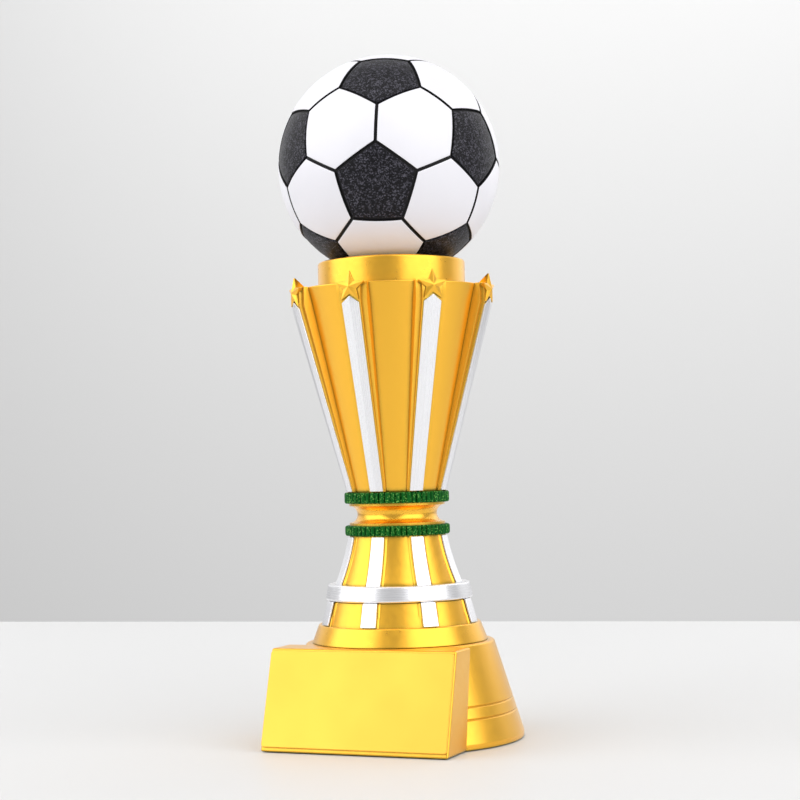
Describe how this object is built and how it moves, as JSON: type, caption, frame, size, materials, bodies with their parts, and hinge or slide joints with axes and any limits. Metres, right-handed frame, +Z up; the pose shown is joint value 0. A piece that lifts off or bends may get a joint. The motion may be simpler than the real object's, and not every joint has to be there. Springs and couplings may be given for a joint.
{
  "type": "football figure trophy",
  "caption": "Football award trophy: a panelled ball in a collar on a fluted gold column with stars, a waist with green rings and a silver band, and a round base with a blank front plate.",
  "frame": {"origin": "middle of the round base's underside, on the surface that the trophy stands on", "axes": "+Z up the column to the ball; -Y out of the front, where the name plate is; +X to the trophy's left, the viewer's right"},
  "size_m": [0.0994, 0.1007, 0.2802],
  "materials": {
    "satin_gold": "satin gold metallic lacquer on cast polyresin",
    "polished_gold": "smooth bright gold metallic lacquer on cast polyresin",
    "plate_gold": "satin gold-coloured aluminium sheet, blank",
    "silver": "bright silver metallic lacquer on cast polyresin",
    "green_enamel": "green glitter enamel over upright ridges",
    "white_enamel": "smooth white enamel on cast polyresin, grooves lined in black",
    "black_glitter": "coarse black glitter coat",
    "zinc_steel": "zinc plated",
    "brass": "turned, unplated",
    "black_felt": "needle felt"
  },
  "bodies": {
    "root": {"felt_pad": "black_felt", "base_casting": "satin_gold", "base_ring": "satin_gold", "lower_flare": "satin_gold", "column_core": "satin_gold", "collar_ring": "satin_gold", "star_rib_1": "satin_gold", "star_rib_2": "satin_gold", "star_rib_3": "satin_gold", "star_rib_4": "satin_gold", "star_rib_5": "satin_gold", "star_rib_6": "satin_gold", "star_rib_7": "satin_gold", "star_rib_8": "satin_gold", "name_plate": "plate_gold", "waist_spool": "polished_gold", "silver_band": "silver", "rib_strip_1": "silver", "rib_strip_2": "silver", "rib_strip_3": "silver", "rib_strip_4": "silver", "rib_strip_5": "silver", "rib_strip_6": "silver", "rib_strip_7": "silver", "rib_strip_8": "silver", "flare_strip_1": "silver", "flare_strip_2": "silver", "flare_strip_3": "silver", "flare_strip_4": "silver", "flare_strip_5": "silver", "flare_strip_6": "silver", "flare_strip_7": "silver", "flare_strip_8": "silver", "skirt_strip_1": "silver", "skirt_strip_2": "silver", "skirt_strip_3": "silver", "skirt_strip_4": "silver", "skirt_strip_5": "silver", "skirt_strip_6": "silver", "skirt_strip_7": "silver", "skirt_strip_8": "silver", "lower_rope_ring": "green_enamel", "upper_rope_ring": "green_enamel", "ball_casting": "white_enamel", "pentagon_inlay_01": "black_glitter", "pentagon_inlay_02": "black_glitter", "pentagon_inlay_03": "black_glitter", "pentagon_inlay_04": "black_glitter", "pentagon_inlay_05": "black_glitter", "pentagon_inlay_06": "black_glitter", "pentagon_inlay_07": "black_glitter", "pentagon_inlay_08": "black_glitter", "pentagon_inlay_09": "black_glitter", "pentagon_inlay_10": "black_glitter", "pentagon_inlay_11": "black_glitter", "pentagon_inlay_12": "black_glitter", "tie_rod": "zinc_steel", "nut": "zinc_steel", "washer": "zinc_steel", "ball_insert": "brass"}
  },
  "joints": []
}
